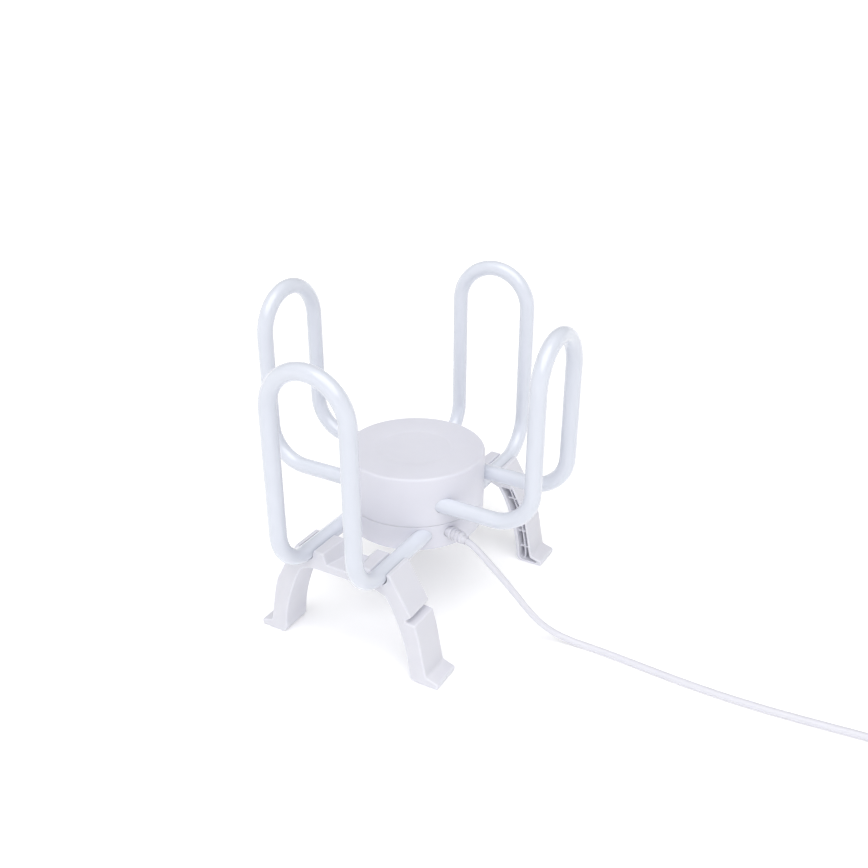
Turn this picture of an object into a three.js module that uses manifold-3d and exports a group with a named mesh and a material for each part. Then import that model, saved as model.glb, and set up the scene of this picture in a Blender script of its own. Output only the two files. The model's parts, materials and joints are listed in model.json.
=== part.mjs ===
// Electric boot dryer: a round two-part drum that carries four upright heated tube loops.
// The lower shell carries two long loops along Y and, clipped under them, two leg brackets.
// The upper shell carries two shorter loops along X and turns on the lower shell about the
// drum's axis, so that its loops swing inside the long ones and the dryer folds flat.
// Millimetres, +Z up. The origin is on the floor, under the drum's axis.

import * as THREE from "three";
import { mergeVertices } from "three/addons/utils/BufferGeometryUtils.js";
import Module from "manifold-3d";

const wasm = await Module();
wasm.setup();

// ---- Driving dimensions ----

const GAP = 0.3; // between pieces that touch
const THROUGH = 1; // how far a cutter runs past what it cuts

// Drum
const DRUM_R = 58;
const DRUM_BOTTOM = 74;
const LOWER_RIM = 96;
const UPPER_RIM = 96.5;
const DRUM_TOP = 139;
const WALL = 2.2;
const TOP_WALL = 2.4;
const DRUM_SIDES = 40;
const BOSS_RADIUS = 48; // of the circle that the screw bosses stand on
const BOSS_ANGLES = [0, 90, 180, 270];

// Heated tubes
const TUBE_R = 6.5;
const TUBE_BORE = 5.5;
const TUBE_SIDES = 12;
const BORE_SIDES = 6;
const HALF_GAP = 33.5; // half the distance between a loop's two legs
const BEND_R = 32;
const TUBE_END = 14; // where a tube ends inside the drum, from the axis
const LOWER_LEVEL = 87.3;
const LOWER_REACH = 141;
const LOWER_TOP = 255.1; // of the centre line
const UPPER_LEVEL = 113;
const UPPER_REACH = 121.5;
const UPPER_TOP = 257.2;
const CABLE_R = 1.5;
const CABLE_OUT = 4; // how far a heating cable comes out of its tube's end

// Leg brackets
const BRACKET_NEAR = 82.8; // the open face, towards the drum
const BRACKET_FAR = 110.5; // the closed face
const BRACKET_WALL = 2;

// Turning joint between the shells
const DECK_BOTTOM = LOWER_LEVEL + TUBE_R + GAP;
const SPIGOT_R = 12;
const SPIGOT_BORE = 8.5;
const SPIGOT_END = 92.2;
const BASE_TOP = 99.5; // of the plate that closes the upper shell

// Mains cord
const CORD_R = 2.8;
const CORD_SIDES = 8;
const COIL_CENTRE = [425, 38];
const COIL_MIDDLE = 32;
const COIL_LANE = 5.7; // from one turn to the next
const COIL_SPREAD = 1.5 * COIL_LANE; // four turns side by side
const COIL_INSIDE = COIL_MIDDLE - COIL_SPREAD - CORD_R - GAP;
const COIL_OUTSIDE = COIL_MIDDLE + COIL_SPREAD + CORD_R + GAP;
const COIL_HEIGHT = 2 * CORD_R + COIL_LANE;
const PLUG_LEVEL = 6.9;

// The cord's centre line from inside the strain relief to the coil, chosen by hand
const CORD_ROUTE = [
  [45.9, -28.6, 87.8],
  [49.8, -29.6, 87.8],
  [57.8, -31.6, 87.8],
  [65.1, -33.5, 87.2],
  [72.2, -34.4, 85],
  [78.7, -34.4, 80.6],
  [87.6, -32.6, 71],
  [98.2, -28.9, 57.5],
  [107.9, -25.1, 44],
  [117.5, -21.4, 30.5],
  [127.6, -16.9, 18],
  [138.2, -12.2, 9.3],
  [151.5, -8.9, 4.4],
  [166, -7.6, 3],
  [181, -7.8, 2.8],
  [210, -9.6, 2.8],
  [240, -11.4, 2.8],
  [275, -12, 2.8],
  [310, -10.4, 2.8],
  [345, -7, 2.8],
  [373, -4, 2.8],
  [399, -2.7, 2.8],
  [425, -2.55, 2.8],
];
const STRAIN_RELIEF_STEPS = 5; // of the route's points that lie inside the strain relief
const TAIL_ROUTE = [
  [465.55, 38, 8.5],
  [465.55, 47, 8.3],
  [465.55, 57, 7.6],
  [465.55, 67, 7],
  [465.55, 79, PLUG_LEVEL],
  [465.55, 93, PLUG_LEVEL],
];

// ---- Materials ----

function material(color, roughness, metalness = 0) {
  return new THREE.MeshStandardMaterial({ color, roughness, metalness });
}

const shellPlastic = material(0xe4e4ea, 0.42);
const bracketPlastic = material(0xe2e1ea, 0.5);
const enamel = material(0xe8ecf6, 0.22);
const cordPlastic = material(0xebe7ee, 0.5);
const innerPlastic = material(0xd8d4c4, 0.6);
const cableSheath = material(0xb9502e, 0.55);
const steel = material(0xb9bcc0, 0.35, 1);
const brass = material(0xc9a75a, 0.3, 1);

// ---- Solids ----

function solid(geometry) {
  const bare = geometry.clone();
  bare.deleteAttribute("normal");
  bare.deleteAttribute("uv");
  const merged = mergeVertices(bare, 1e-4);
  const p = merged.getAttribute("position").array;
  const corners = merged.index.array;
  const kept = [];
  let volume = 0;
  for (let i = 0; i < corners.length; i += 3) {
    const [a, b, c] = [corners[i], corners[i + 1], corners[i + 2]];
    if (a === b || b === c || c === a) continue;
    kept.push(a, b, c);
    const va = new THREE.Vector3().fromArray(p, 3 * a);
    const vb = new THREE.Vector3().fromArray(p, 3 * b);
    const vc = new THREE.Vector3().fromArray(p, 3 * c);
    volume += va.dot(vb.cross(vc));
  }
  const triVerts = new Uint32Array(volume < 0 ? kept.reverse() : kept);
  const mesh = new wasm.Mesh({ numProp: 3, vertProperties: new Float32Array(p), triVerts });
  return new wasm.Manifold(mesh);
}

function geometryOf(shape) {
  const mesh = shape.getMesh();
  const geometry = new THREE.BufferGeometry();
  geometry.setAttribute("position", new THREE.BufferAttribute(mesh.vertProperties, 3));
  geometry.setIndex(new THREE.BufferAttribute(mesh.triVerts, 1));
  geometry.computeVertexNormals();
  return geometry;
}

function box(x0, x1, y0, y1, z0, z1) {
  const geometry = new THREE.BoxGeometry(x1 - x0, y1 - y0, z1 - z0);
  return solid(geometry.translate((x0 + x1) / 2, (y0 + y1) / 2, (z0 + z1) / 2));
}

// A solid of revolution about Z from [radius, height] pairs
function turned(profile, sides) {
  const points = profile.map(([r, z]) => new THREE.Vector2(r, z));
  return new THREE.LatheGeometry(points, sides).rotateX(Math.PI / 2);
}

function rod(radius, z0, z1, sides) {
  return solid(turned([[0, z0], [radius, z0], [radius, z1], [0, z1]], sides));
}

// A cutter whose flats clear a round piece of this radius by GAP
function clearance(radius, z0, z1, sides) {
  return rod((radius + GAP) / Math.cos(Math.PI / sides), z0, z1, sides);
}

function moved(shape, x, y, z = 0) {
  return shape.translate([x, y, z]);
}

// An outline of [x, z] pairs, pushed along Y from y0 to y1
function slab(outline, y0, y1) {
  const shape = new THREE.Shape(outline.map(([x, z]) => new THREE.Vector2(x, z)));
  const geometry = new THREE.ExtrudeGeometry(shape, { depth: y1 - y0, bevelEnabled: false });
  return solid(geometry.rotateX(Math.PI / 2).translate(0, y1, 0));
}

// Four copies of a solid on the circle of screw bosses
function onBosses(shape) {
  const copies = BOSS_ANGLES.map((angle) => moved(shape, BOSS_RADIUS, 0).rotate([0, 0, angle]));
  return wasm.Manifold.union(copies);
}

// ---- Curves with chosen stations ----

class StationCurve extends THREE.Curve {
  constructor(points, tangents) {
    super();
    this.points = points;
    this.tangents = tangents;
  }

  getPointAt(t) {
    return this.points[Math.round(t * (this.points.length - 1))].clone();
  }

  getTangentAt(t) {
    return this.tangents[Math.round(t * (this.points.length - 1))].clone();
  }
}

function circle(shape, radius, sides) {
  for (let i = 0; i < sides; i++) {
    const a = (2 * Math.PI * (i + 0.5)) / sides;
    if (i === 0) shape.moveTo(radius * Math.cos(a), radius * Math.sin(a));
    else shape.lineTo(radius * Math.cos(a), radius * Math.sin(a));
  }
  shape.closePath();
  return shape;
}

function sweep(curve, steps, radius, sides, bore = 0) {
  const section = circle(new THREE.Shape(), radius, sides);
  if (bore) section.holes.push(circle(new THREE.Path(), bore, BORE_SIDES));
  return new THREE.ExtrudeGeometry(section, { steps, extrudePath: curve, bevelEnabled: false });
}

// One loop's centre line in the plane frame of an arm that points along +X
function loopCurve(level, reach, top, end) {
  const points = [];
  const tangents = [];
  const station = (x, y, z, tx, ty, tz) => {
    points.push(new THREE.Vector3(x, y, z));
    tangents.push(new THREE.Vector3(tx, ty, tz));
  };
  const bendSteps = 6;
  const archSteps = 10;
  const bend = (side, i) => {
    const a = (Math.PI / 2) * (i / bendSteps);
    const x = reach - BEND_R + BEND_R * Math.sin(a);
    const z = level + BEND_R - BEND_R * Math.cos(a);
    station(x, side * HALF_GAP, z, -side * Math.cos(a), 0, -side * Math.sin(a));
  };
  station(end, -HALF_GAP, level, 1, 0, 0);
  for (let i = 0; i <= bendSteps; i++) bend(-1, i);
  for (let i = 0; i <= archSteps; i++) {
    const a = Math.PI * (i / archSteps);
    const y = -HALF_GAP * Math.cos(a);
    const z = top - HALF_GAP + HALF_GAP * Math.sin(a);
    station(reach, y, z, 0, Math.sin(a), Math.cos(a));
  }
  for (let i = bendSteps; i >= 0; i--) bend(1, i);
  station(end, HALF_GAP, level, -1, 0, 0);
  return new StationCurve(points, tangents);
}

function splineThrough(route) {
  const places = route.map((p) => new THREE.Vector3(...p));
  return new THREE.CatmullRomCurve3(places, false, "centripetal");
}

function routeCurve(route, steps) {
  const spline = splineThrough(route);
  const points = [];
  const tangents = [];
  for (let i = 0; i <= steps; i++) {
    points.push(spline.getPointAt(i / steps));
    tangents.push(spline.getTangentAt(i / steps));
  }
  return new StationCurve(points, tangents);
}

// ---- Scene graph ----

const dryer = new THREE.Group();
const base = new THREE.Group();
const turret = new THREE.Group();
dryer.add(base, turret);

function piece(parent, name, shape, finish, angle = 0) {
  const geometry = shape.isBufferGeometry ? shape : geometryOf(shape);
  const mesh = new THREE.Mesh(geometry, finish.clone());
  mesh.name = name;
  mesh.rotation.z = THREE.MathUtils.degToRad(angle);
  parent.add(mesh);
}

// A pan-head screw with its head below (facing down) or above, from the head's seat
function screw(radius, length, headRadius, headHeight, facing) {
  const profile = [
    [0, -headHeight],
    [headRadius * 0.7, -headHeight],
    [headRadius, -headHeight * 0.5],
    [headRadius, 0],
    [radius, 0],
    [radius, length - radius],
    [0, length],
  ];
  const geometry = turned(profile, 8);
  return solid(facing < 0 ? geometry : geometry.rotateX(Math.PI));
}

// ---- Heated loops ----

function heatedLoop(parent, side, angle, level, reach, top) {
  const tubeCurve = loopCurve(level, reach, top, TUBE_END);
  const tube = solid(sweep(tubeCurve, tubeCurve.points.length - 1, TUBE_R, TUBE_SIDES, TUBE_BORE));
  piece(parent, `${side}_loop`, tube, enamel, angle);
  const cableCurve = loopCurve(level, reach, top, TUBE_END - CABLE_OUT);
  const cable = solid(sweep(cableCurve, cableCurve.points.length - 1, CABLE_R, 6));
  piece(parent, `${side}_heating_cable`, cable, cableSheath, angle);
}

heatedLoop(base, "front", -90, LOWER_LEVEL, LOWER_REACH, LOWER_TOP);
heatedLoop(base, "rear", 90, LOWER_LEVEL, LOWER_REACH, LOWER_TOP);
heatedLoop(turret, "right", 0, UPPER_LEVEL, UPPER_REACH, UPPER_TOP);
heatedLoop(turret, "left", 180, UPPER_LEVEL, UPPER_REACH, UPPER_TOP);

// Cutters for both tubes of a loop pair, along Y for the lower level and X for the upper
function tubePair(level) {
  const along = clearance(TUBE_R, -DRUM_R * 2, DRUM_R * 2, 14).rotate([90, 0, 0]);
  return moved(along, -HALF_GAP, 0, level).add(moved(along, HALF_GAP, 0, level));
}

const lowerTubes = tubePair(LOWER_LEVEL);
const upperTubes = tubePair(UPPER_LEVEL).rotate([0, 0, 90]);

// ---- Lower shell ----

const CORD_EXIT = new THREE.Vector3(...CORD_ROUTE[0]);
const RELIEF_DIRECTION = new THREE.Vector3(...CORD_ROUTE[1]).sub(CORD_EXIT);
const RELIEF_ANGLE = THREE.MathUtils.radToDeg(Math.atan2(RELIEF_DIRECTION.y, RELIEF_DIRECTION.x));
const RELIEF_NECK = 4.4;
const CLAMP_POSTS = [[14.8, -20.2], [23.2, -11.8]];
const CLAMP_POST_TOP = 79.6;
const DECK_SCREW_SEAT = 80;

// Turns a solid that stands on Z so that it lies along the strain relief, its foot at the wall
function alongRelief(shape) {
  const [x, y, z] = CORD_ROUTE[1];
  return moved(shape.rotate([0, 90, 0]).rotate([0, 0, RELIEF_ANGLE]), x, y, z);
}

function lowerShell() {
  const profile = [
    [0, DRUM_BOTTOM],
    [DRUM_R - 2.4, DRUM_BOTTOM],
    [DRUM_R - 0.9, DRUM_BOTTOM + 1.2],
    [DRUM_R, LOWER_RIM],
    [DRUM_R - WALL, LOWER_RIM],
    [DRUM_R - WALL - 0.6, DRUM_BOTTOM + WALL],
    [0, DRUM_BOTTOM + WALL],
  ];
  const floor = DRUM_BOTTOM + WALL / 2;
  let shell = solid(turned(profile, DRUM_SIDES));
  shell = shell.add(onBosses(rod(4.6, floor, DECK_BOTTOM - GAP, 12)));
  for (const y of [-40, -20, 20, 40]) {
    const width = Math.abs(y) > 30 ? 37.5 : 43;
    const rib = box(-width, width, y - 1.2, y + 1.2, floor, LOWER_LEVEL);
    const middle = box(-26.4, 26.4, y - 2, y + 2, floor - THROUGH, LOWER_LEVEL + THROUGH);
    shell = shell.add(rib.subtract(middle));
  }
  for (const [x, y] of CLAMP_POSTS) shell = shell.add(moved(rod(2.4, floor, CLAMP_POST_TOP, 10), x, y));
  shell = shell.subtract(lowerTubes);
  shell = shell.subtract(onBosses(rod(1.9, DRUM_BOTTOM - THROUGH, LOWER_RIM, 10)));
  shell = shell.subtract(onBosses(rod(3.5, DRUM_BOTTOM - THROUGH, DECK_SCREW_SEAT, 12)));
  for (const [x, y] of CLAMP_POSTS) {
    shell = shell.subtract(moved(rod(1.3, CLAMP_POST_TOP - 2.6, LOWER_RIM, 8), x, y));
  }
  return shell.subtract(alongRelief(clearance(RELIEF_NECK, -9, 12, 14)));
}

function deck() {
  let plate = rod(DRUM_R - WALL - GAP, DECK_BOTTOM, LOWER_RIM, DRUM_SIDES);
  plate = plate.subtract(clearance(SPIGOT_R, DECK_BOTTOM - THROUGH, LOWER_RIM + THROUGH, 32));
  return plate.subtract(onBosses(rod(1.9, DECK_BOTTOM - THROUGH, LOWER_RIM + THROUGH, 10)));
}

piece(base, "lower_shell", lowerShell(), shellPlastic);
piece(base, "lower_deck", deck(), shellPlastic);
BOSS_ANGLES.forEach((angle, i) => {
  const deckScrew = moved(screw(1.5, 15.4, 3, 2.1, -1), BOSS_RADIUS, 0, DECK_SCREW_SEAT - GAP);
  piece(base, `deck_screw_${i + 1}`, deckScrew, steel, angle);
});

// ---- Leg brackets ----

const BRACKET_BOTTOM = 74;
const DECK_LEVEL = 81.5;
const RAIL_TOP = 90.6;
const HEEL_WALL = 3.4; // of a leg, on the inside of the arch
const RIB_RECESS = 4.2; // of a leg's ribs, from the open face
const RIB_HALF = 0.9;
const RIB_SHARE = 0.45; // where the long rib stands, across the channel
const RIB_LEVELS = [13.9, 29.6, 45.3, 61];
const CHANNEL_LEVELS = [72, 64.9, 61, 57.8, 50.6, 49.4, 43.3, 38.8, 30.9, 23.9, 18.8, 9.4];
// A leg's two edges as [x, z], from the bar down to the floor and up again to the rails
const LEG_INNER = [
  [36.6, 73.4],
  [42.1, 64.9],
  [46.7, 55.2],
  [51.2, 43.3],
  [55, 30.9],
  [57.5, 18.8],
  [58.9, 6.2],
];
const HEEL = [[60.3, 2.6], [62.5, 0.6], [65.3, 0]];
const TOE = [[82.2, 0], [84, 1.2], [84.2, 4.6], [77, 6.4]];
const LEG_OUTER = [[73.5, 9.4], [70.9, 23.9], [68.1, 38.8], [64.8, 51.6]];
const CORD_NOTCH = [[63.4, 52.8], [56.4, 53.4], [56.6, 55.6]];
const ROUND_NOTCH = [[65.3, 49.4], [56.4, 50.6], [56.4, 57.8]]; // the channel's way past the notch
const LEG_SHOULDER = [[61, 59], [52.4, 74.7], [43.4, 89.8], [42.4, RAIL_TOP]];
const INNER_RAIL = [[17.1, RAIL_TOP], [13.9, DECK_LEVEL]];
const RAIL_RAMP = [[15.2, RAIL_TOP], [7, DECK_LEVEL]]; // where the rail's side ends at the open face
const CHANNEL_FOOT = [[73, 5.6], [79, 3.4], [79, 2.2], [64.6, 2.2], [62.4, 5.4]];
const CELLS_NEAR = BRACKET_NEAR - THROUGH;
const CELLS_FAR = BRACKET_FAR - BRACKET_WALL;

// x on an edge of the leg at this height
function edgeAt(edge, z) {
  const ordered = [...edge].sort((a, b) => b[1] - a[1]);
  const last = ordered.length - 1;
  const i = Math.min(Math.max(ordered.findIndex((p) => p[1] <= z), 1), last);
  const [[x0, z0], [x1, z1]] = [ordered[i - 1], ordered[i]];
  return x0 + ((x1 - x0) * (z - z0)) / (z1 - z0);
}

// The channel that the mould leaves in a leg, with its long rib and its cross ribs set back
function legChannel(outerEdge) {
  const inner = (z) => edgeAt(LEG_INNER, z) + HEEL_WALL;
  const outer = (z) => edgeAt(outerEdge, z) - BRACKET_WALL;
  const middle = (z) => inner(z) + RIB_SHARE * (outer(z) - inner(z));
  const line = (side, shift) => CHANNEL_LEVELS.map((z) => [side(z) + shift, z]);
  const outline = [...line(outer, 0), ...CHANNEL_FOOT, ...line(inner, 0).reverse()];
  const ribFoot = middle(CHANNEL_LEVELS[CHANNEL_LEVELS.length - 1]);
  const foot = [[ribFoot + RIB_HALF, THROUGH], [ribFoot - RIB_HALF, THROUGH]];
  const longRib = [...line(middle, RIB_HALF), ...foot, ...line(middle, -RIB_HALF).reverse()];
  const ribsNear = BRACKET_NEAR + RIB_RECESS;
  let channel = slab(outline, CELLS_NEAR, CELLS_FAR).subtract(slab(longRib, ribsNear, BRACKET_FAR));
  for (const z of RIB_LEVELS) {
    channel = channel.subtract(box(40, 80, ribsNear, BRACKET_FAR, z - RIB_HALF, z + RIB_HALF));
  }
  return channel;
}

function mirroredLine(line) {
  return line.map(([x, z]) => [-x, z]).reverse();
}

// The wedge by which a rail grows wider towards the open face
function railRamp() {
  const [top, foot] = INNER_RAIL;
  const [nearTop, nearFoot] = RAIL_RAMP;
  const inside = top[0] + BRACKET_WALL;
  const below = DECK_LEVEL - BRACKET_WALL;
  const face = (y, lines) => lines.map(([x, z]) => [x, y, z]);
  const hidden = [[inside, RAIL_TOP], [inside, below]];
  const near = face(BRACKET_NEAR, [nearTop, nearFoot, [nearFoot[0], below], ...hidden]);
  const far = face(BRACKET_FAR, [top, foot, [foot[0], below], ...hidden]);
  return wasm.Manifold.hull([...near, ...far]);
}

// A bracket with two legs, one of them with a notch that the mains cord can be pressed into
function legBracket() {
  const lowerHalf = [...LEG_INNER, ...HEEL, ...TOE, ...LEG_OUTER];
  const upperHalf = [...LEG_SHOULDER, ...INNER_RAIL];
  const plainHalf = [...lowerHalf, ...upperHalf];
  const notchedHalf = [...lowerHalf, ...CORD_NOTCH, ...upperHalf];
  const underside = [[-30, BRACKET_BOTTOM], [30, BRACKET_BOTTOM]];
  const outline = [...underside, ...plainHalf, ...mirroredLine(notchedHalf)];
  const ramp = railRamp();
  let shape = slab(outline, BRACKET_NEAR, BRACKET_FAR).add(ramp).add(ramp.mirror([1, 0, 0]));
  const belowNotch = LEG_OUTER.slice(0, -1);
  const notchedChannel = legChannel([...belowNotch, ...ROUND_NOTCH, ...LEG_SHOULDER]);
  shape = shape.subtract(legChannel([...LEG_OUTER, ...LEG_SHOULDER]));
  shape = shape.subtract(notchedChannel.mirror([1, 0, 0]));
  const barPocket = box(-26, 26, CELLS_NEAR, CELLS_FAR, 76.2, 79.3);
  return shape.subtract(barPocket).subtract(lowerTubes);
}

const bracket = legBracket();
piece(base, "rear_leg_bracket", bracket, bracketPlastic);
piece(base, "front_leg_bracket", bracket, bracketPlastic, 180);

// ---- Lower wiring ----

const BLOCK_BOTTOM = DRUM_BOTTOM + WALL + GAP;
const LOWER_BLOCK_TOP = 84.2;

// A terminal block with rounded upright corners and a row of wire entries
function terminalBlock(z0, z1) {
  const shape = new THREE.Shape();
  const [w, d, r] = [12, 8, 1.5];
  shape.moveTo(-w + r, -d);
  shape.lineTo(w - r, -d);
  shape.absarc(w - r, -d + r, r, -Math.PI / 2, 0);
  shape.absarc(w - r, d - r, r, 0, Math.PI / 2);
  shape.absarc(-w + r, d - r, r, Math.PI / 2, Math.PI);
  shape.absarc(-w + r, -d + r, r, Math.PI, 1.5 * Math.PI);
  const settings = { depth: z1 - z0, bevelEnabled: false, curveSegments: 3 };
  let block = solid(new THREE.ExtrudeGeometry(shape, settings).translate(0, 0, z0));
  for (const x of [-7.5, 0, 7.5]) {
    const entry = rod(1.4, -d - THROUGH, d + THROUGH, 8).rotate([90, 0, 0]);
    block = block.subtract(moved(entry, x, 0, (z0 + z1) / 2));
  }
  return block;
}

piece(base, "lower_terminal_block", terminalBlock(BLOCK_BOTTOM, LOWER_BLOCK_TOP), innerPlastic);

const cutoffProfile = [
  [0, -12],
  [0.5, -12],
  [0.5, -8],
  [2.2, -7.4],
  [2.2, 7.4],
  [0.5, 8],
  [0.5, 12],
  [0, 12],
];
const cutoff = solid(turned(cutoffProfile, 12)).rotate([0, 90, 0]);
piece(base, "thermal_cutoff", moved(cutoff, 0, 28, BLOCK_BOTTOM + 2.6), steel);

const LEAD_ROUTE = [
  [45.6, -28.55, 87.2],
  [43.6, -28.05, 86.8],
  [41.6, -27.6, 85.8],
  [40.3, -27.5, 83.6],
  [39.4, -28, 81],
  [36, -26.8, 78.2],
  [24.4, -22.8, 77.9],
  [17, -14, 77.9],
  [13.8, -6, 78.4],
];
piece(base, "supply_lead", solid(sweep(routeCurve(LEAD_ROUTE, 16), 16, 0.9, 5)), cordPlastic);

const [postA, postB] = CLAMP_POSTS;
const clampAngle = THREE.MathUtils.radToDeg(Math.atan2(postB[1] - postA[1], postB[0] - postA[0]));
const clampCentre = [(postA[0] + postB[0]) / 2, (postA[1] + postB[1]) / 2];
const clampTop = CLAMP_POST_TOP + GAP + 2.4;
let cordClamp = box(-8.6, 8.6, -2.6, 2.6, CLAMP_POST_TOP + GAP, clampTop);
cordClamp = moved(cordClamp.rotate([0, 0, clampAngle]), ...clampCentre);
for (const [x, y] of CLAMP_POSTS) {
  cordClamp = cordClamp.subtract(moved(rod(1.3, CLAMP_POST_TOP, clampTop + THROUGH, 8), x, y));
}
piece(base, "cord_clamp", cordClamp, innerPlastic);
CLAMP_POSTS.forEach(([x, y], i) => {
  const clampScrew = moved(screw(0.9, 5.1, 2.1, 1.5, 1), x, y, clampTop + GAP);
  piece(base, `clamp_screw_${i + 1}`, clampScrew, steel);
});

// Leads to the upper half run up the axis and twist as the upper shell turns
piece(base, "axis_lead", rod(3, LOWER_BLOCK_TOP + GAP, 103.7, 12), cordPlastic);

// ---- Turning joint ----

const RING_TOP = SPIGOT_END - GAP;
const RING_BOTTOM = RING_TOP - 2;
const RING_SCREW_RADIUS = (SPIGOT_R + SPIGOT_BORE) / 2;
const RING_SCREW_ANGLES = [90, 210, 330];

function onRing(shape) {
  const copies = RING_SCREW_ANGLES.map((angle) => moved(shape, RING_SCREW_RADIUS, 0).rotate([0, 0, angle]));
  return wasm.Manifold.union(copies);
}

function pipe(inner, outer, z0, z1, sides) {
  return solid(turned([[inner, z0], [outer, z0], [outer, z1], [inner, z1], [inner, z0]], sides));
}

// A wave spring washer: a flat ring whose height rises and falls three times round
function waveWasher(inner, outer, middle, thickness, wave) {
  const h = thickness / 2;
  const profile = [[inner, -h], [outer, -h], [outer, h], [inner, h], [inner, -h]];
  const geometry = turned(profile, 36);
  const p = geometry.getAttribute("position");
  for (let i = 0; i < p.count; i++) {
    const rise = wave * Math.cos(3 * Math.atan2(p.getY(i), p.getX(i)));
    p.setZ(i, p.getZ(i) + middle + rise);
  }
  return solid(geometry);
}

const washerMiddle = (RING_TOP + DECK_BOTTOM) / 2;
piece(base, "wave_washer", waveWasher(12.6, 15.2, washerMiddle, 0.6, 0.4), steel);

const ring = pipe(SPIGOT_BORE + GAP, 15.4, RING_BOTTOM, RING_TOP, 24);
const ringHoles = onRing(rod(1.2, RING_BOTTOM - THROUGH, RING_TOP + THROUGH, 8));
piece(turret, "retaining_ring", ring.subtract(ringHoles), innerPlastic);
RING_SCREW_ANGLES.forEach((angle, i) => {
  const ringScrew = moved(screw(0.9, 5.6, 1.9, 1.2, -1), RING_SCREW_RADIUS, 0, RING_BOTTOM - GAP);
  piece(turret, `ring_screw_${i + 1}`, ringScrew, steel, angle);
});

// ---- Upper half ----

const CLAMP_NEAR = 16; // of the tube clamps, from the axis
const CLAMP_FAR = 24;
const CLAMP_SCREW_Y = 21.5;
const CLAMP_TOP = 121;
const BASE_SCREW_SEAT = 98.3;

function upperShell() {
  const profile = [
    [DRUM_R - WALL, UPPER_RIM],
    [DRUM_R, UPPER_RIM],
    [DRUM_R, DRUM_TOP - 1.6],
    [DRUM_R - 0.5, DRUM_TOP - 0.5],
    [DRUM_R - 1.6, DRUM_TOP],
    [32.5, DRUM_TOP],
    [32, DRUM_TOP - 0.3],
    [28.5, DRUM_TOP - 0.3],
    [28, DRUM_TOP],
    [0, DRUM_TOP],
    [0, DRUM_TOP - TOP_WALL],
    [DRUM_R - WALL, DRUM_TOP - TOP_WALL],
    [DRUM_R - WALL, UPPER_RIM],
  ];
  let shell = solid(turned(profile, DRUM_SIDES));
  shell = shell.add(onBosses(rod(4, BASE_TOP + GAP, DRUM_TOP - 1, 12)));
  shell = shell.subtract(onBosses(rod(1.6, BASE_TOP, BASE_TOP + 16, 8)));
  return shell.subtract(upperTubes);
}

function upperBase() {
  const profile = [
    [SPIGOT_BORE, SPIGOT_END],
    [SPIGOT_R, SPIGOT_END],
    [SPIGOT_R, UPPER_RIM],
    [DRUM_R - WALL - GAP, UPPER_RIM],
    [DRUM_R - WALL - GAP, BASE_TOP],
    [SPIGOT_BORE, BASE_TOP],
    [SPIGOT_BORE, SPIGOT_END],
  ];
  let plate = solid(turned(profile, DRUM_SIDES));
  for (const x of [-1, 1]) {
    for (const y of [-1, 1]) {
      const xs = [x * CLAMP_NEAR, x * CLAMP_FAR].sort((a, b) => a - b);
      const ys = [y * 17, y * 43].sort((a, b) => a - b);
      const saddle = box(...xs, ...ys, BASE_TOP - 1, UPPER_LEVEL - GAP);
      const screwHole = rod(1.7, 101, UPPER_LEVEL + THROUGH, 8);
      const screwX = (x * (CLAMP_NEAR + CLAMP_FAR)) / 2;
      plate = plate.add(saddle).subtract(moved(screwHole, screwX, y * CLAMP_SCREW_Y));
    }
  }
  plate = plate.subtract(onBosses(rod(1.6, UPPER_RIM - THROUGH, BASE_TOP + THROUGH, 10)));
  plate = plate.subtract(onBosses(rod(3.2, UPPER_RIM - THROUGH, BASE_SCREW_SEAT, 12)));
  plate = plate.subtract(onRing(rod(1.2, SPIGOT_END - THROUGH, UPPER_RIM, 8)));
  return plate.subtract(upperTubes);
}

function tubeClamp() {
  const screwX = (CLAMP_NEAR + CLAMP_FAR) / 2;
  let bar = box(CLAMP_NEAR, CLAMP_FAR, -43, 43, UPPER_LEVEL, CLAMP_TOP).subtract(upperTubes);
  for (const y of [-CLAMP_SCREW_Y, CLAMP_SCREW_Y]) {
    bar = bar.subtract(moved(rod(1.7, UPPER_LEVEL - THROUGH, CLAMP_TOP + THROUGH, 8), screwX, y));
  }
  return bar;
}

piece(turret, "upper_shell", upperShell(), shellPlastic);
piece(turret, "upper_base", upperBase(), innerPlastic);
BOSS_ANGLES.forEach((angle, i) => {
  const baseScrew = moved(screw(1.2, 13.5, 2.8, 1.2, -1), BOSS_RADIUS, 0, BASE_SCREW_SEAT - GAP);
  piece(turret, `base_screw_${i + 1}`, baseScrew, steel, angle);
});
const clamp = tubeClamp();
for (const [side, angle] of [["right", 0], ["left", 180]]) {
  piece(turret, `${side}_tube_clamp`, clamp, innerPlastic, angle);
  [-1, 1].forEach((y, i) => {
    const place = [(CLAMP_NEAR + CLAMP_FAR) / 2, y * CLAMP_SCREW_Y, CLAMP_TOP + GAP];
    piece(turret, `${side}_clamp_screw_${i + 1}`, moved(screw(1.4, 18, 3, 2, 1), ...place), steel, angle);
  });
}
const upperBlock = terminalBlock(BASE_TOP + GAP, 109);
piece(turret, "upper_terminal_block", upperBlock.subtract(rod(3.5, BASE_TOP, 104, 12)), innerPlastic);

// ---- Mains cord ----

// Bends a solid that stands on Z onto a route, its z measured along the route from its start
function bentAlong(geometry, route) {
  const spline = splineThrough(route);
  const length = spline.getLength();
  const p = geometry.getAttribute("position");
  const up = new THREE.Vector3(0, 0, 1);
  for (let i = 0; i < p.count; i++) {
    const t = p.getZ(i) / length;
    const tangent = spline.getTangentAt(t);
    const side = new THREE.Vector3().crossVectors(up, tangent).normalize();
    const over = new THREE.Vector3().crossVectors(tangent, side);
    const place = spline.getPointAt(t).addScaledVector(side, p.getX(i)).addScaledVector(over, -p.getY(i));
    p.setXYZ(i, place.x, place.y, place.z);
  }
  return geometry;
}

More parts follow.
